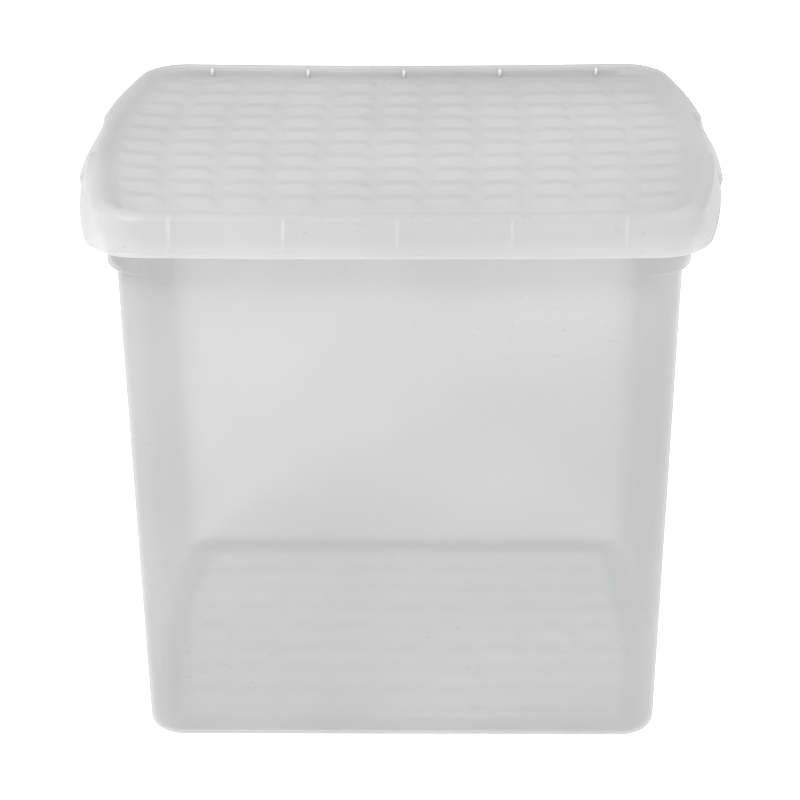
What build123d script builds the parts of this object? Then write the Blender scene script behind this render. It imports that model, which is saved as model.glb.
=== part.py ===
from build123d import *
import math
import os

os.makedirs("parts", exist_ok=True)

# Lidded storage tub. Millimetres, +Z up, X along the width, the front faces -Y.
# The origin is the middle of the footprint, on the surface the tub stands on.
# Every level outline has straight long sides, short sides bowed outwards and rounded corners.
# Half widths are taken at mid-depth, where the bow is widest.

overall_height = 366.0
wall = 2.0
fit_gap = 0.3

# tub walls, drafted from the foot to the ledge that the lid sits over
foot_half_width = 171.4
foot_half_depth = 134.6
foot_bow = 11.2
mouth_half_width = 178.1
mouth_half_depth = 141.4
mouth_bow = 14.0
tub_corner_radius = 23.0
foot_edge_radius = 5.0

# raised floor inside the foot ring
foot_ring_width = 18.0
floor_thickness = 2.5
floor_rise = 5.0
floor_bow = 8.0
floor_corner_radius = 10.0

# grip band: the top of each short side stands proud of the wall
band_depth = 5.4
band_bottom = 323.5

# ledge, turned-down lip and upstanding rim, all covered by the lid's skirt
ledge_top = 352.0
ledge_inset = 8.5
lip_drop = 6.0
rim_inset = 11.3

# lid: skirt flares out downwards, shoulder is rounded, border stands above a sunk panel
lid_half_width = 200.0
lid_half_depth = 157.5
lid_bow = 23.0
lid_corner_radius = 36.0
skirt_height = 25.0
skirt_flare = 5.9
shoulder_radius = 7.0
inner_shoulder_radius = 5.0
panel_half_width = 181.0
panel_half_depth = 141.5
panel_corner_radius = 24.0
panel_sink = 6.7
border_edge_radius = 2.5

# stiffening ribs between the lid's border and its skirt
rib_spacing = 66.0
rib_columns = 5
rib_thickness = 2.0
rib_depth = 3.3
rib_drop = 20.0
rib_web = 4.0

# finger lip in the middle of each short side of the lid
finger_half_length = 39.0
finger_reach = 3.0
finger_top = 360.0
finger_bottom = 345.0

# woven relief: a grid of short raised pads whose columns follow the bow of the short sides
pad_height = 0.8
lid_pad_columns = 11
lid_pad_rows = 10
lid_pad_pitch = 32.4
lid_row_pitch = 25.2
lid_pad_size = (26.0, 8.0)
floor_pad_columns = 9
floor_pad_rows = 8
floor_pad_pitch = 33.8
floor_row_pitch = 27.3
floor_pad_size = (27.0, 8.0)

# levels and sizes that follow from the dimensions above
skirt_foot = overall_height - skirt_height
border_underside = overall_height - wall
panel_top = overall_height - panel_sink
panel_underside = panel_top - wall
rim_top = border_underside - rib_web - fit_gap
floor_panel_half_width = foot_half_width - foot_ring_width
floor_panel_half_depth = foot_half_depth - foot_ring_width
floor_top = floor_rise + floor_thickness
rib_foot = rim_top + fit_gap
skirt_inside = lid_half_depth - wall
rib_root = skirt_inside - skirt_flare * (rib_foot - skirt_foot) / skirt_height
bow_radius = (lid_half_depth**2 + lid_bow**2) / (2 * lid_bow)
bow_centre = lid_half_width - bow_radius
finger_turn = math.degrees(math.asin(finger_half_length / bow_radius))
finger_top_half_width = lid_half_width - skirt_flare * (finger_top - skirt_foot) / skirt_height
finger_foot_half_width = (
    lid_half_width + finger_reach - skirt_flare * (finger_bottom - skirt_foot) / skirt_height
)


def outline(height, half_width, half_depth, bow, corner_radius):
    """Level face: straight long sides, short sides bowed outwards by bow, rounded corners."""
    corner_x = half_width - bow
    with BuildSketch(Plane.XY.offset(height)) as level:
        with BuildLine():
            front = Line((-corner_x, -half_depth), (corner_x, -half_depth))
            right = ThreePointArc(front @ 1, (half_width, 0), (corner_x, half_depth))
            back = Line(right @ 1, (-corner_x, half_depth))
            ThreePointArc(back @ 1, (-half_width, 0), front @ 0)
        make_face()
        fillet(level.vertices(), corner_radius)
    return level.sketch


def wall_outline(height, inset=0.0, band=0.0):
    """Outline of the tub's drafted wall at a height, moved in by inset and out sideways by band."""
    share = height / ledge_top
    half_width = foot_half_width + (mouth_half_width - foot_half_width) * share
    half_depth = foot_half_depth + (mouth_half_depth - foot_half_depth) * share
    bow = foot_bow + (mouth_bow - foot_bow) * share
    return outline(height, half_width - inset + band, half_depth - inset, bow, tub_corner_radius - inset)


def lid_outline(height, inset=0.0):
    """Outline of the lid's leaning skirt at a height, moved in by inset."""
    lean = skirt_flare * (height - skirt_foot) / skirt_height
    half_depth = lid_half_depth - lean - inset
    bow = lid_bow * (half_depth / lid_half_depth) ** 2
    radius = lid_corner_radius - lean - inset
    return outline(height, lid_half_width - lean - inset, half_depth, bow, radius)


def rim_outline(height, inset):
    """Outline parallel to the foot of the lid's skirt, for the tub's ledge, lip and rim."""
    half_depth = lid_half_depth - inset
    bow = lid_bow * (half_depth / lid_half_depth) ** 2
    return outline(height, lid_half_width - inset, half_depth, bow, lid_corner_radius - inset)


def panel_outline(height, growth=0.0):
    """Outline of the lid's sunk panel, moved outwards by growth."""
    half_depth = panel_half_depth + growth
    bow = lid_bow * (half_depth / lid_half_depth) ** 2
    return outline(height, panel_half_width + growth, half_depth, bow, panel_corner_radius + growth)


def floor_outline(height, inset=0.0):
    """Outline of the raised floor, moved in by inset."""
    half_width = floor_panel_half_width - inset
    half_depth = floor_panel_half_depth - inset
    return outline(height, half_width, half_depth, floor_bow, floor_corner_radius - inset)


def relief(height, columns, rows, pad_pitch, row_pitch, pad_size, bow, half_depth):
    """Face of round-ended pads on a grid whose columns close up as bow * (y / half_depth)^2."""
    places = []
    half_span = columns * pad_pitch / 2
    for row in range(rows):
        y = (row - (rows - 1) / 2) * row_pitch
        squeeze = 1 - bow * (y / half_depth) ** 2 / half_span
        for column in range(columns):
            places.append(((column - (columns - 1) / 2) * pad_pitch * squeeze, y))
    with BuildSketch(Plane.XY.offset(height)) as pads:
        with Locations(*places):
            SlotOverall(*pad_size)
    return pads.sketch


# lip that turns down from the edge of the tub's ledge
with BuildPart() as ledge_lip:
    extrude(to_extrude=rim_outline(ledge_top - lip_drop, ledge_inset), amount=lip_drop)
    extrude(
        to_extrude=rim_outline(ledge_top - lip_drop, ledge_inset + wall),
        amount=lip_drop,
        mode=Mode.SUBTRACT,
    )

with BuildPart() as tub:
    # drafted body with a rounded foot edge, and the band on the short sides
    loft(sections=[wall_outline(0), wall_outline(ledge_top)])
    fillet(tub.edges().group_by(Axis.Z)[0], foot_edge_radius)
    loft(sections=[wall_outline(band_bottom, band=band_depth), wall_outline(ledge_top, band=band_depth)])
    # ledge, turned-down lip and upstanding rim
    extrude(to_extrude=rim_outline(ledge_top - wall, ledge_inset), amount=wall)
    add(ledge_lip.part)
    extrude(to_extrude=rim_outline(ledge_top, rim_inset), amount=rim_top - ledge_top)
    # inside: walls, band, rim
    loft(
        sections=[wall_outline(floor_thickness, inset=wall), wall_outline(ledge_top, inset=wall)],
        mode=Mode.SUBTRACT,
    )
    loft(
        sections=[
            wall_outline(band_bottom + wall, inset=wall, band=band_depth),
            wall_outline(ledge_top, inset=wall, band=band_depth),
        ],
        mode=Mode.SUBTRACT,
    )
    extrude(
        to_extrude=rim_outline(ledge_top, rim_inset + wall),
        amount=rim_top - ledge_top,
        mode=Mode.SUBTRACT,
    )
    # floor raised inside the foot ring, hollow from below
    extrude(to_extrude=floor_outline(0), amount=floor_top)
    extrude(to_extrude=floor_outline(0, inset=wall), amount=floor_rise, mode=Mode.SUBTRACT)
    extrude(
        to_extrude=relief(
            floor_top,
            floor_pad_columns,
            floor_pad_rows,
            floor_pad_pitch,
            floor_row_pitch,
            floor_pad_size,
            floor_bow,
            floor_panel_half_depth,
        ),
        amount=pad_height,
    )

# finger lips: a short curved tongue on each short side, turned about the centre of the side's bow
with BuildPart() as finger_lips:
    for side in (-1, 1):
        with BuildSketch(Plane.XZ) as lip_section:
            Polygon(
                (side * finger_top_half_width, finger_top),
                (side * finger_foot_half_width, finger_bottom),
                (side * (finger_foot_half_width - wall), finger_bottom),
                (side * (finger_top_half_width - wall), finger_top),
                align=None,
            )
        for turn in (-finger_turn, finger_turn):
            revolve(
                profiles=lip_section.sketch,
                axis=Axis((side * bow_centre, 0, 0), (0, 0, 1)),
                revolution_arc=turn,
            )

# space under the border and inside the skirt
with BuildPart() as lid_hollow:
    loft(sections=[lid_outline(skirt_foot, inset=wall), lid_outline(border_underside, inset=wall)])
    fillet(lid_hollow.edges().group_by(Axis.Z)[-1], inner_shoulder_radius)

with BuildPart() as lid:
    # skirt with a rounded shoulder, cut short in the middle of the short sides for the finger lips
    loft(sections=[lid_outline(skirt_foot), lid_outline(overall_height)])
    fillet(lid.edges().group_by(Axis.Z)[-1], shoulder_radius)
    add(lid_hollow.part, mode=Mode.SUBTRACT)
    with Locations((0, 0, (skirt_foot + finger_bottom) / 2)):
        Box(
            3 * lid_half_width,
            2 * finger_half_length,
            finger_bottom - skirt_foot,
            mode=Mode.SUBTRACT,
        )
    add(finger_lips.part)
    # sunk panel
    extrude(to_extrude=panel_outline(panel_underside, wall), amount=border_underside - panel_underside)
    extrude(to_extrude=panel_outline(panel_top), amount=panel_sink, mode=Mode.SUBTRACT)
    fillet(lid.faces().sort_by(Axis.Z)[-1].inner_wires()[0].edges(), border_edge_radius)
    extrude(
        to_extrude=relief(
            panel_top,
            lid_pad_columns,
            lid_pad_rows,
            lid_pad_pitch,
            lid_row_pitch,
            lid_pad_size,
            lid_bow,
            lid_half_depth,
        ),
        amount=pad_height,
    )
    # stiffening ribs along the front and the back
    for column in range(rib_columns):
        rib_x = (column - (rib_columns - 1) / 2) * rib_spacing
        for side in (-1, 1):
            with BuildSketch(Plane.YZ.offset(rib_x - rib_thickness / 2)):
                Polygon(
                    (side * (panel_half_depth + wall / 2), border_underside + wall / 2),
                    (side * (panel_half_depth + wall / 2), rib_foot),
                    (side * (rib_root - rib_depth), rib_foot),
                    (side * (skirt_inside - rib_depth), overall_height - rib_drop),
                    (side * skirt_inside, overall_height - rib_drop),
                    (side * (rib_root + wall / 2), rib_foot),
                    (side * (rib_root - wall), border_underside + wall / 2),
                    align=None,
                )
    extrude(amount=rib_thickness)

tub.part.label = "tub"
lid.part.label = "lid"

export_step(tub.part, "parts/tub.step")
export_step(lid.part, "parts/lid.step")
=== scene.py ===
"""Storage tub with a push-on lid, in frosted see-through plastic: two closed shells and the lid's ribs."""

import math

import bpy
import numpy as np
from bpy.props import FloatProperty, FloatVectorProperty, IntProperty, PointerProperty
from bpy.types import Operator, Panel, PropertyGroup
from mathutils import Matrix, Vector


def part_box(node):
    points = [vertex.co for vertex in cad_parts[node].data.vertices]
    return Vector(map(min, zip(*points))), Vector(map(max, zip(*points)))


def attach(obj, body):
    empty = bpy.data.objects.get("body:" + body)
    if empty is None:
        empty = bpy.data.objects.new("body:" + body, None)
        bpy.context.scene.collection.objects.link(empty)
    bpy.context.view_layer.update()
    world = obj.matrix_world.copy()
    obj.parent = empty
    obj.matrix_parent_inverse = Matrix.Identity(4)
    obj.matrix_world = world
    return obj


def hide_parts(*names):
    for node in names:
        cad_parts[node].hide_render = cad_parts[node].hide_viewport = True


bl_info = {
    "name": "Storage tub with lid",
    "version": (1, 0, 0),
    "blender": (4, 5, 0),
    "location": "View3D > Sidebar > Storage tub",
    "description": "Builds a frosted plastic storage tub, its push-on lid and a plain studio",
    "category": "Object",
}

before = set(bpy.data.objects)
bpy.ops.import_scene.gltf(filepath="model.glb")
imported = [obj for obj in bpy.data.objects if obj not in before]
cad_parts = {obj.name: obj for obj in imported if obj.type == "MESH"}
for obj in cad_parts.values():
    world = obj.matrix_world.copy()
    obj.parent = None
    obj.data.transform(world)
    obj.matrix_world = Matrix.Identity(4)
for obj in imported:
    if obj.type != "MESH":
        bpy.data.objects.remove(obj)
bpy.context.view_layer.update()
LID_LOW, LID_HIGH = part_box("lid")

MM = 0.001

# quads along the long sides and along the short sides of every ring
LID_STEPS = (176, 140)
TUB_STEPS = (140, 106)

# the lid's shoulder: its drop, its inset on the border and the run of its curve
SHOULDER_DROP = 5.8 * MM
SHOULDER_INSET = 11.9 * MM
SHOULDER_RUN = 7.4 * MM
# how far the lid's inner face lies under its outer one at the shoulder
INNER_OFFSET = 2.0 * MM
# rows of the lid's profile with a smaller inset in millimetres belong to the skirt and shoulder
SKIRT_ROWS = 12.5
# share of the half width past which a point belongs to a short side
SHORT_SIDE = 0.8
# length over which a finger lip's ends rise
LIP_END = 0.8 * MM
# height above which the tub's wall follows the lid's sag
SAG_FROM = 0.30
# how far the gate nub lies in front of the panel's middle
GATE_FORWARD = 3 * MM

# the plastic: refraction, fine grain, and what stays clear at a glance and where it is dense
PLASTIC_IOR = 1.49
GRAIN_STRENGTH = 0.25
GRAIN_HEIGHT = 0.2 * MM
GLANCE_BLEND = 0.35
GLANCE_SHARE = 0.15
DENSE_RANGE = (0.2, 1.2)
DENSE_SHARE = 0.65

# the floor of the studio and its lamps
WHITE = (1.0, 1.0, 1.0, 1.0)
FLOOR_REACH = 12.0
FLOOR_GAP = 0.3 * MM
FLOOR_ROUGHNESS = 0.9
MAIN_PLACE, MAIN_SIZE = (-1.0, -1.15, 2.05), 0.6
SIDE_PLACE, SIDE_SIZE = (1.8, -0.5, 1.0), 0.9


# ---------------------------------------------------------------- sizes and colours


def length(name, description, default):
    """A length in metres that the sidebar shows in scene units"""
    return FloatProperty(name=name, description=description, default=default, unit="LENGTH", precision=5)


class TubSizes(PropertyGroup):
    foot_half_width: length("Foot half width", "Half the outer width at the foot, at mid-depth", 0.1714)
    foot_half_depth: length("Foot half depth", "Half the outer depth at the foot", 0.1346)
    foot_bow: length("Foot bow", "How far the short sides bow out at the foot", 0.0112)
    mouth_half_width: length("Mouth half width", "Half the outer width under the ledge", 0.1781)
    mouth_half_depth: length("Mouth half depth", "Half the outer depth under the ledge", 0.1414)
    mouth_bow: length("Mouth bow", "How far the short sides bow out under the ledge", 0.0140)
    corner_radius: length("Corner radius", "Radius of the upright corners", 0.023)
    wall: length("Wall", "Thickness of the plastic", 0.002)
    foot_edge: length("Foot edge", "Rounding of the foot's outer edge", 0.005)
    foot_ring: length("Foot ring", "Width of the ring that the tub stands on", 0.018)
    floor_thickness: length("Floor thickness", "Thickness of the floor", 0.0025)
    floor_rise: length("Floor rise", "How far the middle of the floor is raised", 0.005)
    floor_bow: length("Floor bow", "How far the raised floor's short sides bow out", 0.008)
    floor_corner: length("Floor corner", "Corner radius of the raised floor", 0.010)
    band_depth: length("Grip band depth", "How far the grip band stands proud of the short sides", 0.0054)
    band_bottom: length("Grip band height", "Height of the grip band's lower edge", 0.3235)
    ledge_top: length("Ledge height", "Height of the ledge that the lid sits over", 0.352)
    ledge_inset: length("Ledge inset", "Gap from the lid's outline to the ledge's edge", 0.0085)
    lip_drop: length("Lip drop", "How far the ledge's edge turns down", 0.006)
    rim_inset: length("Rim inset", "Gap from the lid's outline to the standing rim", 0.0113)
    rim_top: length("Rim height", "Height of the standing rim", 0.3597)


class LidSizes(PropertyGroup):
    half_width: length("Half width", "Half the width at the skirt's foot, at mid-depth", 0.200)
    half_depth: length("Half depth", "Half the depth at the skirt's foot", LID_HIGH.y)
    bow: length("Bow", "How far the short sides bow out", 0.023)
    corner_radius: length("Corner radius", "Corner radius at the skirt's foot", 0.036)
    top: length("Top", "Height of the lid's border", LID_HIGH.z)
    skirt_height: length("Skirt height", "Height of the skirt", LID_HIGH.z - LID_LOW.z)
    skirt_flare: length("Skirt flare", "How far the skirt leans out over its height", 0.0059)
    panel_sink: length("Panel sink", "How far the panel lies under the border", 0.0067)
    finger_half: length("Finger lip half length", "Half the length of a finger lip", 0.039)
    finger_reach: length("Finger lip reach", "How far a finger lip's tip stands out of the lid's foot", 0.0016)
    finger_lift: length("Finger lip lift", "How much shorter the skirt is under a finger lip", 0.004)
    edge_sag: length("Edge sag", "How far the long edges sag at mid-length", 0.0018)
    panel_sag: length("Panel sag", "How much more the lid's rings sag at mid-depth than at the edges", 0.0042)
    gate_radius: length("Gate radius", "Radius of the moulding nub in the panel's middle", 0.0016)
    gate_height: length("Gate height", "Height of that nub", 0.0008)


class WeaveSizes(PropertyGroup):
    lid_height: length("Lid ridge height", "Height of the lid's woven relief", 0.0020)
    floor_height: length("Floor ridge height", "Height of the floor's woven relief", 0.0026)
    lid_half: length("Lid ridge half length", "Half the length of a ridge on the lid", 0.0135)
    lid_pitch: length("Lid column pitch", "Distance between the lid's columns at mid-depth", 0.0324)
    lid_row: length("Lid row pitch", "Distance between the lid's rows", 0.0252)
    lid_columns: IntProperty(
        name="Lid columns", description="Columns of ridges on the lid", default=11, min=1
    )
    lid_rows: IntProperty(name="Lid rows", description="Rows of ridges on the lid", default=10, min=1)
    floor_half: length("Floor ridge half length", "Half the length of a ridge on the floor", 0.0150)
    floor_pitch: length("Floor column pitch", "Distance between the floor's columns at mid-depth", 0.0338)
    floor_row: length("Floor row pitch", "Distance between the floor's rows", 0.0273)
    floor_columns: IntProperty(
        name="Floor columns", description="Columns of ridges on the floor", default=9, min=1
    )
    floor_rows: IntProperty(name="Floor rows", description="Rows of ridges on the floor", default=8, min=1)


class RibSizes(PropertyGroup):
    spacing: length("Rib spacing", "Distance between the lid's ribs", 0.066)
    count: IntProperty(name="Ribs a side", description="Ribs under each long edge of the lid", default=5, min=1)
    thickness: length("Rib thickness", "Thickness of a rib", 0.002)
    depth: length("Rib depth", "How far a rib stands in from the skirt", 0.0030)
    drop: length("Rib drop", "How far a rib reaches down the skirt", 0.020)


class PlasticLook(PropertyGroup):
    tub_colour: FloatVectorProperty(
        name="Tub colour", description="Colour of the tub's plastic", subtype="COLOR",
        size=4, min=0.0, max=1.0, default=(0.595, 0.597, 0.599, 1.0),
    )
    lid_colour: FloatVectorProperty(
        name="Lid colour", description="Colour of the lid's plastic", subtype="COLOR",
        size=4, min=0.0, max=1.0, default=(0.71, 0.712, 0.714, 1.0),
    )
    tub_clarity: FloatProperty(
        name="Tub clarity", description="Share of light that passes straight through one face of the tub",
        default=0.60, min=0.0, max=1.0, subtype="FACTOR",
    )
    lid_clarity: FloatProperty(
        name="Lid clarity", description="Share of light that passes straight through one face of the lid",
        default=0.34, min=0.0, max=1.0, subtype="FACTOR",
    )
    glow: FloatProperty(
        name="Glow", description="Share of the scattered light that goes on through the plastic",
        default=0.45, min=0.0, max=1.0, subtype="FACTOR",
    )


class StudioSizes(PropertyGroup):
    distance: length("Camera distance", "Level distance from the camera to the object", 1.4146)
    height: length("Camera height", "Height of the camera above the floor", 0.8323)
    heading: FloatProperty(
        name="Camera heading", description="Turn of the camera to its left", default=0.0158, subtype="ANGLE"
    )
    pan: FloatProperty(name="Pan", description="Turn of the view on the spot", default=0.0012, subtype="ANGLE")
    pitch: FloatProperty(
        name="Camera pitch", description="Angle of the camera below the level", default=0.43352, subtype="ANGLE"
    )
    roll: FloatProperty(
        name="Camera roll", description="Clockwise turn of the camera", default=0.0060, subtype="ANGLE"
    )
    lens: FloatProperty(name="Lens", description="Focal length in millimetres", default=105.29, min=10.0)
    floor_colour: FloatVectorProperty(
        name="Floor colour", description="Colour of the floor", subtype="COLOR",
        size=4, min=0.0, max=1.0, default=(0.90, 0.90, 0.90, 1.0),
    )
    sky: FloatProperty(
        name="Sky", description="Strength of the even light all round", default=0.57, min=0.0
    )
    main: FloatProperty(
        name="Main light", description="Power in watts of the light from the front left", default=43.0, min=0.0
    )
    side: FloatProperty(
        name="Side light", description="Power in watts of the light from the right", default=11.0, min=0.0
    )
    floor_glow: FloatProperty(
        name="Floor glow", description="Light that the floor gives off", default=0.80, min=0.0
    )


# ---------------------------------------------------------------- shapes


def outline(half_width, half_depth, bow, radius, steps):
    """Level rings and their outward directions, one ring for each entry of the arrays.

    A ring has straight long sides at y = +-half_depth, short sides that are arcs through
    (+-half_width, 0) which lie bow further in at the corners, and corners of the given radius.
    Each side runs from the middle of one corner to the middle of the next and is divided evenly
    by length, steps[0] times on the long sides and steps[1] times on the short ones.
    The rings run anticlockwise seen from above and start at the front left corner.
    """
    sizes = (half_width, half_depth, bow, radius)
    half_width, half_depth, bow, radius = (np.asarray(size, float)[:, None] for size in sizes)
    arc = (half_depth**2 + bow**2) / (2 * bow)
    centre = half_width - arc
    corner_y = half_depth - radius
    corner_x = centre + np.sqrt((arc - radius) ** 2 - corner_y**2)
    start = np.arctan2(corner_y, corner_x - centre)
    middle = (start + np.pi / 2) / 2

    t = np.linspace(-1, 1, steps[0] + 1)[None, :-1]
    run = np.abs(t) * (corner_x + radius * (np.pi / 2 - middle))
    turn = np.clip((run - corner_x) / radius, 0, None)
    long_x = np.sign(t) * (np.minimum(run, corner_x) + radius * np.sin(turn))
    long_y = corner_y + radius * np.cos(turn)
    long_across, long_out = np.sign(t) * np.sin(turn), np.cos(turn)

    t = np.linspace(-1, 1, steps[1] + 1)[None, :-1]
    run = np.abs(t) * (arc * start + radius * (middle - start))
    swing = np.minimum(run / arc, start)
    turn = swing + np.clip((run - arc * start) / radius, 0, None)
    short_x = centre + (arc - radius) * np.cos(swing) + radius * np.cos(turn)
    short_y = np.sign(t) * ((arc - radius) * np.sin(swing) + radius * np.sin(turn))
    short_out, short_across = np.cos(turn), np.sign(t) * np.sin(turn)

    x = np.concatenate((long_x, short_x, -long_x, -short_x), axis=1)
    y = np.concatenate((-long_y, short_y, long_y, -short_y), axis=1)
    out_x = np.concatenate((long_across, short_out, -long_across, -short_out), axis=1)
    out_y = np.concatenate((-long_out, short_across, long_out, -short_across), axis=1)
    return np.stack((x, y), axis=-1), np.stack((out_x, out_y), axis=-1)


def ring_quads(rings, count):
    """Quads between neighbouring rings of count points, the last point joined to the first."""
    here = np.arange(rings - 1)[:, None] * count + np.arange(count)[None, :]
    there = np.arange(rings - 1)[:, None] * count + np.roll(np.arange(count), -1)[None, :]
    return np.stack((here, there, there + count, here + count), axis=-1).reshape(-1, 4)


def filled(ring, first, steps, next_index):
    """Sheet that fills one ring: its inner points, its quads and the ring's place in the grid.

    The grid is a Coons patch: the blend of the front and back sides, plus the blend of the left
    and right sides, minus the blend of the four corners.
    """
    across, along = steps
    count = 2 * (across + along)
    index = np.arange(count) + first
    closed = np.concatenate((np.arange(count), [0]))
    front = closed[: across + 1]
    right = closed[across : across + along + 1]
    back = closed[across + along : 2 * across + along + 1][::-1]
    left = closed[2 * across + along :][::-1]
    u = np.linspace(0, 1, across + 1)[None, :, None]
    v = np.linspace(0, 1, along + 1)[:, None, None]
    sides = (1 - v) * ring[front][None] + v * ring[back][None]
    sides = sides + (1 - u) * ring[left][:, None] + u * ring[right][:, None]
    corners = (
        (1 - u) * (1 - v) * ring[front[0]]
        + u * (1 - v) * ring[front[-1]]
        + (1 - u) * v * ring[back[0]]
        + u * v * ring[back[-1]]
    )
    grid = sides - corners
    places = np.zeros((along + 1, across + 1), int)
    places[1:-1, 1:-1] = next_index + np.arange((along - 1) * (across - 1)).reshape(along - 1, across - 1)
    places[0], places[-1] = index[front], index[back]
    places[:, 0], places[:, -1] = index[left], index[right]
    quads = np.stack((places[:-1, :-1], places[:-1, 1:], places[1:, 1:], places[1:, :-1]), axis=-1)
    return grid[1:-1, 1:-1].reshape(-1, 3), quads.reshape(-1, 4)


def closed_shell(points, steps, relief):
    """Points and quads of a closed shell made of rings, with a sheet over the first and the last.

    The first ring bounds the sheet that faces down, the last one the sheet that faces up. Both
    sheets are raised by relief(x, y), so that the plastic between them keeps its thickness.
    """
    rings, count = points.shape[:2]
    body = points.reshape(-1, 3)
    under, under_quads = filled(points[0], 0, steps, len(body))
    over, over_quads = filled(points[-1], (rings - 1) * count, steps, len(body) + len(under))
    over[:, 2] += relief(over[:, 0], over[:, 1])
    under[:, 2] += relief(under[:, 0], under[:, 1])
    quads = np.concatenate((ring_quads(rings, count), under_quads[:, ::-1], over_quads))
    return np.concatenate((body, under, over)), quads


def weave(x, y, pitch, row, columns, rows, half_length, height, bow, half_depth):
    """Height of a woven relief at (x, y): a grid of short ridges with sharp crests.

    The columns close up towards the long sides as bow * (y / half_depth)^2. A ridge lies along the
    middle of each cell, and its height is height * (1 - |along| / (row / 2))^1.3 * (1 - |across /
    half_length|^2.5): sharp at the crest, level halfway to the next one and level between columns.
    """
    squeeze = 1 - bow * (y / half_depth) ** 2 / (columns * pitch / 2)
    column = x / (pitch * squeeze) + columns / 2
    line = y / row + rows / 2
    across = (column - np.floor(column) - 0.5) * pitch
    along = (line - np.floor(line) - 0.5) * row
    inside = (column > 0) & (column < columns) & (line > 0) & (line < rows)
    ends = np.clip(1 - np.abs(across / half_length) ** 2.5, 0, None)
    return height * inside * ends * (1 - np.abs(along) / (row / 2)) ** 1.3


def smooth_step(value):
    """0 below 0, 1 above 1, and 3 v^2 - 2 v^3 between."""
    v = np.clip(value, 0, 1)
    return v * v * (3 - 2 * v)


def sagged(points, lid, fade):
    """Lowers a ring's points as the lid sags, most at mid-length and more towards mid-depth.

    The drop is (edge_sag + panel_sag * (1 - (y / half depth)^2)) * (1 - (x / half width)^2) * fade.
    The sheets that fill the first and the last ring then hang between the lowered rings.
    """
    across = np.clip(1 - (points[..., 0] / lid.half_width) ** 2, 0, None)
    along = np.clip(1 - (points[..., 1] / lid.half_depth) ** 2, 0, None)
    points[..., 2] -= (lid.edge_sag + lid.panel_sag * along) * across * fade
    return points


def rounding(start, end, count):
    """Quarter ellipse from start to end as rows of (inset, drop), level where it ends."""
    angle = np.linspace(0, np.pi / 2, count)
    inset = start[0] + (end[0] - start[0]) * (1 - np.cos(angle))
    drop = end[1] + (start[1] - end[1]) * (1 - np.sin(angle))
    return np.stack((inset, drop), axis=1)


def add_piece(name, points, quads, body, node, material):
    """Adds a mesh as a finished piece that rides a body and stands for a CAD node."""
    mesh = bpy.data.meshes.new(name)
    mesh.from_pydata(points, [], quads)
    mesh.validate()
    mesh.shade_smooth()
    mesh.materials.append(material)
    piece = bpy.data.objects.new(name, mesh)
    bpy.context.scene.collection.objects.link(piece)
    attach(piece, body)
    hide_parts(node)
    return piece


def lid_rows(lid):
    """Rows of the lid's profile: inset at the long sides, inset at the short sides, drop at each.

    Insets are taken from the skirt's foot outline and drops from the border's top, both in
    millimetres. The rows start at the edge of the panel's underside, go out under the border, down
    inside the skirt, round its foot, up outside, over the shoulder and down into the panel. The
    step down to the panel is steep at the long sides, and low and gentle at the short ones.
    """
    sink = lid.panel_sink / MM
    height = lid.skirt_height / MM
    flare = lid.skirt_flare / MM

    def lean(drop):
        return flare * (height - drop) / height

    under = [
        (15.3, 23.6, sink + 2.0, 4.2),
        (14.5, 22.6, sink + 1.9, 4.0),
        (14.1, 21.4, sink + 1.3, 3.7),
        (14.0, 19.6, 5.4, 3.2),
        (13.6, 18.0, 3.9, 2.9),
        (13.0, 16.4, 2.9, 2.5),
        (12.2, 14.6, 2.2, 2.2),
    ]
    inner = rounding((2.0 + lean(7.2), 7.2), (12.0, 2.0), 7)[::-1]
    inner_skirt = [(2.0 + lean(drop), drop) for drop in np.linspace(9.0, height - 1.2, 7)]
    foot = [(1.9, height - 0.5), (1.5, height - 0.1), (1.0, height), (0.5, height - 0.1), (0.1, height - 0.5)]
    bead = [(0.0, height - 1.2), (0.0, height - 1.9), (0.2, height - 2.2), (lean(height - 2.5), height - 2.5)]
    outer_skirt = [(lean(drop), drop) for drop in np.linspace(height - 3.2, 7.0, 8)]
    shoulder = rounding((lean(5.8), 5.8), (11.9, 0.0), 9)
    border = [
        (12.6, 13.2, 0.06, 0.0),
        (13.4, 14.2, 0.5, 0.06),
        (14.4, 15.4, 1.2, 0.2),
        (15.4, 16.8, 2.0, 0.5),
        (15.9, 18.2, 2.5, 0.9),
        (16.0, 19.4, 3.1, 1.25),
        (16.05, 20.6, 4.8, 1.6),
        (16.1, 21.8, sink - 0.3, 1.85),
        (16.3, 23.0, sink - 0.1, 2.05),
        (16.9, 24.0, sink, 2.2),
    ]
    parts = (inner, inner_skirt, foot, bead, outer_skirt, shoulder)
    both = [(inset, inset, drop, drop) for part in parts for inset, drop in part]
    return np.array(under + both + border)


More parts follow.
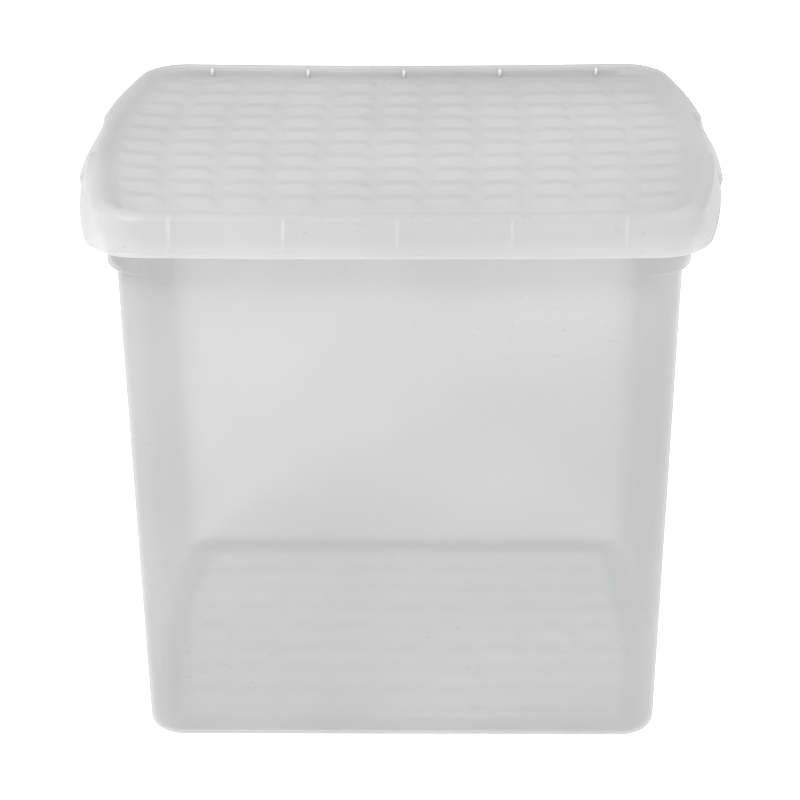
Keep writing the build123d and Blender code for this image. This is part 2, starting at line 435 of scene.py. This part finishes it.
def lid_points(lid, rows):
    """Rings of the lid's shell, with the finger lips pushed out and the whole lid sagged.

    Along a ring the drop is the long side's times out_y^2 plus the short side's times 1 - out_y^2,
    where out_y is the y of the outward direction. A finger lip is a ramp cut into the shoulder that
    runs out past the skirt: its inset is the shoulder's, less (the shoulder's + reach) * (drop /
    lip's drop)^0.75. Its foot is finger_lift higher than the skirt's.
    """
    half_depth = lid.half_depth - rows[:, 0] * MM
    half_width = lid.half_width - rows[:, 1] * MM
    bow = lid.bow * (half_depth / lid.half_depth) ** 2
    radius = lid.corner_radius - 0.75 * rows[:, 0] * MM
    level, out = outline(half_width, half_depth, bow, radius, LID_STEPS)
    to_long = out[..., 1] ** 2
    drop = (rows[:, 2, None] * to_long + rows[:, 3, None] * (1 - to_long)) * MM
    points = np.concatenate((level, (lid.top - drop)[..., None]), axis=-1)

    ends = smooth_step((lid.finger_half + LIP_END / 2 - np.abs(points[..., 1])) / LIP_END)
    skirt = (rows[:, 0] < SKIRT_ROWS)[:, None]
    window = ends * skirt * (np.abs(points[..., 0]) > lid.half_width * SHORT_SIDE)
    lift = lid.finger_lift * smooth_step((drop / lid.skirt_height - 0.5) / 0.5)
    inner = np.arange(len(rows))[:, None] < np.argmax(rows[:, 2])
    face_drop = np.clip(drop - lift - inner * INNER_OFFSET, 0, None)
    lean = lid.skirt_flare * (1 - np.maximum(drop, SHOULDER_DROP) / lid.skirt_height)
    rounded = 1 - np.sqrt(np.clip(1 - (1 - np.clip(face_drop / SHOULDER_DROP, 0, 1)) ** 2, 0, 1))
    share = np.clip(face_drop / (lid.skirt_height - lid.finger_lift), 0, 1)
    ramp = SHOULDER_INSET - (SHOULDER_INSET + lid.finger_reach) * share**0.75
    push = lean + SHOULDER_RUN * rounded - ramp
    points[..., 0] += np.sign(points[..., 0]) * window * push
    points[..., 2] += window * lift
    return sagged(points, lid, 1.0)


def tub_rows(tub, lid):
    """Rows of the tub's profile: half width, half depth, bow, corner radius and height in metres.

    They start at the edge of the pocket under the floor, go out over the foot, up the outside, over
    the ledge, its turned-down lip and the rim, down the inside and in to the raised floor.
    """
    wall = tub.wall

    def wall_row(z, inset=0.0, band=0.0):
        share = z / tub.ledge_top
        return (
            tub.foot_half_width + (tub.mouth_half_width - tub.foot_half_width) * share - inset + band,
            tub.foot_half_depth + (tub.mouth_half_depth - tub.foot_half_depth) * share - inset,
            tub.foot_bow + (tub.mouth_bow - tub.foot_bow) * share,
            tub.corner_radius - inset,
            z,
        )

    def rim_row(z, inset):
        half_depth = lid.half_depth - inset
        bow = lid.bow * (half_depth / lid.half_depth) ** 2
        return (lid.half_width - inset, half_depth, bow, lid.corner_radius - inset, z)

    def floor_row(z, inset=0.0):
        return (
            tub.foot_half_width - tub.foot_ring - inset,
            tub.foot_half_depth - tub.foot_ring - inset,
            tub.floor_bow,
            tub.floor_corner - inset,
            z,
        )

    rise, top, band = tub.floor_rise, tub.ledge_top, tub.band_depth
    edge = tub.foot_edge
    under = [
        floor_row(rise, wall + 0.6 * MM),
        floor_row(rise - 0.2 * MM, wall + 0.15 * MM),
        floor_row(rise - 0.6 * MM, wall),
        floor_row(0.8 * MM, wall),
        floor_row(0.25 * MM, wall - 0.2 * MM),
        floor_row(0.0, wall - 0.8 * MM),
        wall_row(0.0, edge + 2 * MM),
    ]
    foot = [wall_row(edge * (1 - math.cos(a)), edge * (1 - math.sin(a))) for a in np.linspace(0, math.pi / 2, 8)]
    outside = [wall_row(z) for z in np.linspace(edge + 2 * MM, tub.band_bottom - 1.2 * MM, 12)]
    grip = [
        wall_row(tub.band_bottom - 0.5 * MM, band=0.1 * MM),
        wall_row(tub.band_bottom, band=0.8 * MM),
        wall_row(tub.band_bottom + 0.3 * MM, band=band - 0.7 * MM),
        wall_row(tub.band_bottom + 1.0 * MM, band=band - 0.1 * MM),
    ]
    grip += [wall_row(z, band=band) for z in np.linspace(tub.band_bottom + 1.8 * MM, top - wall - 0.6 * MM, 5)]
    lip_foot = top - tub.lip_drop
    ledge = [
        wall_row(top - wall, band=band + 0.4 * MM),
        rim_row(top - wall, tub.ledge_inset + wall + 0.5 * MM),
        rim_row(top - wall - 0.5 * MM, tub.ledge_inset + wall),
        rim_row(lip_foot + 0.5 * MM, tub.ledge_inset + wall),
        rim_row(lip_foot, tub.ledge_inset + wall - 0.5 * MM),
        rim_row(lip_foot, tub.ledge_inset + 0.5 * MM),
        rim_row(lip_foot + 0.5 * MM, tub.ledge_inset),
        rim_row(top - 0.9 * MM, tub.ledge_inset),
        rim_row(top - 0.25 * MM, tub.ledge_inset + 0.25 * MM),
        rim_row(top, tub.ledge_inset + 0.9 * MM),
    ]
    rim = [
        rim_row(top, tub.rim_inset - 0.5 * MM),
        rim_row(top + 0.5 * MM, tub.rim_inset),
        rim_row(tub.rim_top - 0.7 * MM, tub.rim_inset),
        rim_row(tub.rim_top, tub.rim_inset + 0.7 * MM),
        rim_row(tub.rim_top, tub.rim_inset + wall - 0.7 * MM),
        rim_row(tub.rim_top - 0.7 * MM, tub.rim_inset + wall),
        rim_row(top + 0.6 * MM, tub.rim_inset + wall),
        rim_row(top, tub.rim_inset + wall + 0.6 * MM),
    ]
    inside = [wall_row(top, inset=wall - 0.6 * MM, band=band), wall_row(top - 0.6 * MM, inset=wall, band=band)]
    band_heights = np.linspace(top - 2 * MM, tub.band_bottom + wall + 1.6 * MM, 5)
    inside += [wall_row(z, inset=wall, band=band) for z in band_heights]
    inside += [
        wall_row(tub.band_bottom + wall + 0.6 * MM, inset=wall, band=band - 0.2 * MM),
        wall_row(tub.band_bottom + wall, inset=wall, band=band - 0.9 * MM),
        wall_row(tub.band_bottom + wall - 0.4 * MM, inset=wall, band=0.5 * MM),
        wall_row(tub.band_bottom + wall - 1.2 * MM, inset=wall),
    ]
    base = tub.floor_thickness
    inside += [wall_row(z, inset=wall) for z in np.linspace(tub.band_bottom - 1 * MM, base + 5 * MM, 12)]
    hollow = [
        wall_row(base + 3 * MM * (1 - math.sin(a)), wall + 3 * MM * (1 - math.cos(a)))
        for a in np.linspace(0, math.pi / 2, 6)
    ]
    raised = [
        floor_row(base, -1.2 * MM),
        floor_row(base + 0.3 * MM, -0.4 * MM),
        floor_row(base + 1.0 * MM, 0.0),
        floor_row(base + rise - 0.8 * MM, 0.0),
        floor_row(base + rise - 0.2 * MM, 0.3 * MM),
        floor_row(base + rise, 1.0 * MM),
    ]
    return np.array(under + foot + outside + grip + ledge + rim + inside + hollow + raised)


def tub_points(tub, lid, rows):
    """Rings of the tub's shell. Its top follows the lid's sag, which fades out down the wall."""
    level, _ = outline(rows[:, 0], rows[:, 1], rows[:, 2], rows[:, 3], TUB_STEPS)
    height = np.broadcast_to(rows[:, 4, None, None], level.shape[:2] + (1,))
    points = np.concatenate((level, height), axis=-1)
    fade = smooth_step((points[..., 2] - SAG_FROM) / (tub.ledge_top - SAG_FROM))
    return sagged(points, lid, fade)


def rib_plates(lid, ribs):
    """Points and faces of the ribs, each a flat plate between the lid's border and its skirt.

    A plate is one outline in (y, z), repeated at both faces of the plate, at every rib's place and
    for both long sides. It hangs from the border and follows the skirt, rib depth in from it. The
    same is done with a small gusset that ties the border to the panel across the step.
    """
    height, flare = lid.skirt_height, lid.skirt_flare

    def skirt_y(drop):
        return lid.half_depth - 1.0 * MM - flare * (height - drop) / height

    inner = lid.half_depth - 15.0 * MM
    foot = ribs.drop
    root = 6.0 * MM
    plate = np.array([
        (inner, 3.0 * MM),
        (inner, 5.7 * MM),
        (skirt_y(6.2 * MM) - ribs.depth, 5.7 * MM),
        (skirt_y(foot) - ribs.depth, foot - 1.0 * MM),
        (skirt_y(foot) - ribs.depth + 1.0 * MM, foot),
        (skirt_y(foot), foot),
        (skirt_y(root), root),
        (skirt_y(root) - 2.4 * MM, 3.0 * MM),
        (skirt_y(root) - 6.0 * MM, 1.0 * MM),
    ])
    places = (np.arange(ribs.count) - (ribs.count - 1) / 2) * ribs.spacing
    gusset = np.array([
        (lid.half_depth - 13.0 * MM, 1.4 * MM),
        (lid.half_depth - 15.6 * MM, 1.5 * MM),
        (lid.half_depth - 16.7 * MM, 2.9 * MM),
        (lid.half_depth - 17.0 * MM, lid.panel_sink + 0.3 * MM),
        (lid.half_depth - 14.6 * MM, lid.panel_sink + 0.3 * MM),
        (lid.half_depth - 13.8 * MM, 3.2 * MM),
    ])
    points, faces = [], []
    first = 0
    for half in (plate, gusset):
        corners = len(half)
        loop = np.arange(corners)
        for side in (-1, 1):
            for place in places:
                for face in (-0.5, 0.5):
                    x = np.full(corners, place + face * ribs.thickness)
                    points.append(np.stack((x, side * half[:, 0], lid.top - half[:, 1]), axis=1))
                low, high = first + loop, first + corners + loop
                walls = np.stack((low, high, np.roll(high, -1), np.roll(low, -1)), axis=1).tolist()
                block = [low.tolist(), high[::-1].tolist()] + walls
                faces += block if side < 0 else [f[::-1] for f in block]
                first += 2 * corners
    points = sagged(np.concatenate(points), lid, 1.0)
    return points, faces


# ---------------------------------------------------------------- frosted plastic


def frosted_plastic(name, colour, clarity, glow, dense_below=0.0):
    """Milky see-through plastic: a satin face, light scattered on through the wall, and a clear share.

    The clear share falls at glancing angles, where more plastic lies in the way. Broad clouds,
    small specks and fine level streaks vary the colour, and a fine grain roughens the face. Near
    the height dense_below and under it the plastic is thicker, so less passes straight through.
    """
    material = bpy.data.materials.new(name)
    material.use_nodes = True
    tree = material.node_tree
    tree.nodes.clear()
    link = tree.links.new

    def node(kind, **values):
        made = tree.nodes.new(kind)
        for key, value in values.items():
            setattr(made, key, value)
        return made

    place = node("ShaderNodeTexCoord").outputs["Object"]

    def noise(scale, detail, stretch=(1.0, 1.0, 1.0)):
        mapping = node("ShaderNodeMapping")
        mapping.inputs["Scale"].default_value = stretch
        made = node("ShaderNodeTexNoise")
        made.inputs["Scale"].default_value = scale
        made.inputs["Detail"].default_value = detail
        link(place, mapping.inputs["Vector"])
        link(mapping.outputs["Vector"], made.inputs["Vector"])
        return made.outputs["Fac"]

    def spread(source, low, high, to_low, to_high):
        made = node("ShaderNodeMapRange")
        made.inputs["From Min"].default_value = low
        made.inputs["From Max"].default_value = high
        made.inputs["To Min"].default_value = to_low
        made.inputs["To Max"].default_value = to_high
        link(source, made.inputs["Value"])
        return made.outputs["Result"]

    def times(first, second):
        made = node("ShaderNodeMath", operation="MULTIPLY")
        link(first, made.inputs[0])
        link(second, made.inputs[1])
        return made.outputs["Value"]

    clouds = spread(noise(scale=7.0, detail=3.0), low=0.3, high=0.7, to_low=0.95, to_high=1.03)
    scuffs = noise(scale=11.0, detail=2.0, stretch=(1.0, 1.0, 1.6))
    scuffed = spread(scuffs, low=0.50, high=0.62, to_low=0.0, to_high=1.0)
    grit = noise(scale=330.0, detail=3.0, stretch=(0.7, 0.7, 1.3))
    dots = spread(grit, low=0.64, high=0.72, to_low=0.0, to_high=1.0)
    scratches = noise(scale=60.0, detail=4.0, stretch=(0.5, 0.5, 9.0))
    streaks = spread(scratches, low=0.66, high=0.74, to_low=0.0, to_high=0.6)
    marks = node("ShaderNodeMath", operation="ADD")
    link(dots, marks.inputs[0])
    link(streaks, marks.inputs[1])
    specks = spread(times(marks.outputs["Value"], scuffed), low=0.0, high=1.0, to_low=1.0, to_high=0.90)
    shade = times(clouds, specks)
    tone = node("ShaderNodeMix", data_type="RGBA", blend_type="MULTIPLY")
    tone.inputs["Factor"].default_value = 1.0
    tone.inputs["A"].default_value = tuple(colour)
    link(shade, tone.inputs["B"])

    bump = node("ShaderNodeBump")
    bump.inputs["Strength"].default_value = GRAIN_STRENGTH
    bump.inputs["Distance"].default_value = GRAIN_HEIGHT
    link(noise(scale=900.0, detail=3.0), bump.inputs["Height"])

    face = node("ShaderNodeBsdfPrincipled")
    face.inputs["IOR"].default_value = PLASTIC_IOR
    satin = spread(noise(scale=30.0, detail=2.0), low=0.3, high=0.7, to_low=0.30, to_high=0.42)
    link(tone.outputs["Result"], face.inputs["Base Color"])
    link(satin, face.inputs["Roughness"])
    link(bump.outputs["Normal"], face.inputs["Normal"])

    through = node("ShaderNodeBsdfTranslucent")
    link(tone.outputs["Result"], through.inputs["Color"])
    link(bump.outputs["Normal"], through.inputs["Normal"])

    milky = node("ShaderNodeMixShader")
    milky.inputs["Fac"].default_value = glow
    link(face.outputs["BSDF"], milky.inputs[1])
    link(through.outputs["BSDF"], milky.inputs[2])

    angle = node("ShaderNodeLayerWeight")
    angle.inputs["Blend"].default_value = GLANCE_BLEND
    facing = angle.outputs["Facing"]
    falling = spread(facing, low=0.0, high=1.0, to_low=clarity, to_high=GLANCE_SHARE * clarity)
    clear_share = times(falling, clouds)
    if dense_below > 0.0:
        axes = node("ShaderNodeSeparateXYZ")
        link(place, axes.inputs["Vector"])
        low, high = (share * dense_below for share in DENSE_RANGE)
        thin = spread(axes.outputs["Z"], low=low, high=high, to_low=DENSE_SHARE, to_high=1.0)
        clear_share = times(clear_share, thin)
    clear = node("ShaderNodeBsdfTransparent")
    surface = node("ShaderNodeMixShader")
    link(clear_share, surface.inputs["Fac"])
    link(milky.outputs["Shader"], surface.inputs[1])
    link(clear.outputs["BSDF"], surface.inputs[2])
    out = node("ShaderNodeOutputMaterial")
    link(surface.outputs["Shader"], out.inputs["Surface"])
    return material


# ---------------------------------------------------------------- operators


class STORAGETUB_OT_tub(Operator):
    """Builds the tub: drafted walls with bowed short sides, grip bands, ledge, rim and woven floor"""

    bl_idname = "storagetub.tub"
    bl_label = "Tub"

    def execute(self, context):
        scene = context.scene
        tub, lid, w, look = scene.tub_sizes, scene.lid_sizes, scene.weave_sizes, scene.plastic_look
        points = tub_points(tub, lid, tub_rows(tub, lid))

        def relief(x, y):
            half_depth = tub.foot_half_depth - tub.foot_ring
            return weave(
                x, y, w.floor_pitch, w.floor_row, w.floor_columns, w.floor_rows,
                w.floor_half, w.floor_height, tub.floor_bow, half_depth,
            )

        vertices, quads = closed_shell(points, TUB_STEPS, relief)
        material = frosted_plastic("tub_plastic", look.tub_colour, look.tub_clarity, look.glow, tub.foot_edge)
        add_piece("tub_shell", vertices, quads, "tub", "tub", material)
        return {"FINISHED"}


class STORAGETUB_OT_lid(Operator):
    """Builds the lid: flared skirt, rounded shoulder, finger lips and the sunk woven panel"""

    bl_idname = "storagetub.lid"
    bl_label = "Lid"

    def execute(self, context):
        scene = context.scene
        lid, w, look = scene.lid_sizes, scene.weave_sizes, scene.plastic_look
        points = lid_points(lid, lid_rows(lid))

        def relief(x, y):
            away = (x**2 + (y + GATE_FORWARD) ** 2) / lid.gate_radius**2
            gate = lid.gate_height * np.clip(1 - away, 0, 1) ** 0.5
            return gate + weave(
                x, y, w.lid_pitch, w.lid_row, w.lid_columns, w.lid_rows,
                w.lid_half, w.lid_height, lid.bow, lid.half_depth,
            )

        vertices, quads = closed_shell(points, LID_STEPS, relief)
        material = frosted_plastic("lid_plastic", look.lid_colour, look.lid_clarity, look.glow)
        add_piece("lid_shell", vertices, quads, "lid", "lid", material)
        return {"FINISHED"}


class STORAGETUB_OT_ribs(Operator):
    """Builds the stiffening ribs under the lid's long edges and the gussets over the panel's step"""

    bl_idname = "storagetub.ribs"
    bl_label = "Lid ribs"

    def execute(self, context):
        scene = context.scene
        material = bpy.data.materials.get("lid_plastic")
        if material is None:
            raise RuntimeError("build the lid before its ribs")
        vertices, faces = rib_plates(scene.lid_sizes, scene.rib_sizes)
        add_piece("lid_ribs", vertices, faces, "lid", "lid", material)
        return {"FINISHED"}


class STORAGETUB_OT_stage(Operator):
    """Sets up the pale floor, the soft lights, the even sky and the camera"""

    bl_idname = "storagetub.stage"
    bl_label = "Studio"

    def execute(self, context):
        scene = context.scene
        studio = scene.studio_sizes
        scene.view_settings.view_transform = "Standard"

        mesh = bpy.data.meshes.new("floor")
        corners = [(x * FLOOR_REACH, y * FLOOR_REACH, 0) for x, y in ((-1, -1), (1, -1), (1, 1), (-1, 1))]
        mesh.from_pydata(corners, [], [(0, 1, 2, 3)])
        floor = bpy.data.objects.new("floor", mesh)
        floor.location.z = -FLOOR_GAP
        scene.collection.objects.link(floor)
        pale = bpy.data.materials.new("pale_floor")
        pale.use_nodes = True
        face = pale.node_tree.nodes["Principled BSDF"]
        face.inputs["Base Color"].default_value = studio.floor_colour
        face.inputs["Roughness"].default_value = FLOOR_ROUGHNESS
        face.inputs["Specular IOR Level"].default_value = 0.0
        face.inputs["Emission Color"].default_value = WHITE
        face.inputs["Emission Strength"].default_value = studio.floor_glow
        mesh.materials.append(pale)

        sky = bpy.data.worlds.new("even_sky")
        sky.use_nodes = True
        glow = sky.node_tree.nodes["Background"]
        glow.inputs["Color"].default_value = WHITE
        glow.inputs["Strength"].default_value = studio.sky
        scene.world = sky

        self.lamp(scene, "main_light", studio.main, MAIN_PLACE, MAIN_SIZE)
        self.lamp(scene, "side_light", studio.side, SIDE_PLACE, SIDE_SIZE)

        data = bpy.data.cameras.new("camera")
        data.lens = studio.lens
        camera = bpy.data.objects.new("camera", data)
        turn = Matrix.Rotation(studio.heading + studio.pan, 4, "Z")
        tilt = Matrix.Rotation(math.pi / 2 - studio.pitch, 4, "X")
        roll = Matrix.Rotation(-studio.roll, 4, "Z")
        x = studio.distance * math.sin(studio.heading)
        y = -studio.distance * math.cos(studio.heading)
        camera.matrix_world = Matrix.Translation((x, y, studio.height)) @ turn @ tilt @ roll
        scene.collection.objects.link(camera)
        scene.camera = camera
        return {"FINISHED"}

    def lamp(self, scene, name, power, place, size):
        """Adds a square lamp that faces the middle of the tub."""
        data = bpy.data.lights.new(name, "AREA")
        data.energy = power
        data.size = size
        lamp = bpy.data.objects.new(name, data)
        aim = Vector((0, 0, LID_LOW.z / 2)) - Vector(place)
        lamp.matrix_world = Matrix.Translation(place) @ aim.to_track_quat("-Z", "Y").to_matrix().to_4x4()
        scene.collection.objects.link(lamp)


class STORAGETUB_PT_sidebar(Panel):
    """Lists the pieces and their sizes"""

    bl_label = "Storage tub"
    bl_idname = "STORAGETUB_PT_sidebar"
    bl_space_type = "VIEW_3D"
    bl_region_type = "UI"
    bl_category = "Storage tub"

    def draw(self, context):
        for operator, groups in STEPS:
            self.layout.operator(operator.bl_idname)
            for group in groups:
                settings = getattr(context.scene, group)
                for setting in settings.__annotations__:
                    self.layout.prop(settings, setting)


STEPS = (
    (STORAGETUB_OT_tub, ("tub_sizes", "weave_sizes", "plastic_look")),
    (STORAGETUB_OT_lid, ("lid_sizes",)),
    (STORAGETUB_OT_ribs, ("rib_sizes",)),
    (STORAGETUB_OT_stage, ("studio_sizes",)),
)
GROUPS = {
    "tub_sizes": TubSizes,
    "lid_sizes": LidSizes,
    "weave_sizes": WeaveSizes,
    "rib_sizes": RibSizes,
    "plastic_look": PlasticLook,
    "studio_sizes": StudioSizes,
}
CLASSES = (*GROUPS.values(), *(operator for operator, _ in STEPS), STORAGETUB_PT_sidebar)


def register():
    for made in CLASSES:
        bpy.utils.register_class(made)
    for name, group in GROUPS.items():
        setattr(bpy.types.Scene, name, PointerProperty(type=group))


def unregister():
    for name in GROUPS:
        delattr(bpy.types.Scene, name)
    for made in reversed(CLASSES):
        bpy.utils.unregister_class(made)


def main():
    register()
    bpy.ops.storagetub.tub()
    bpy.ops.storagetub.lid()
    bpy.ops.storagetub.ribs()
    bpy.ops.storagetub.stage()
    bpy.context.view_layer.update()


if __name__ == "__main__":
    main()
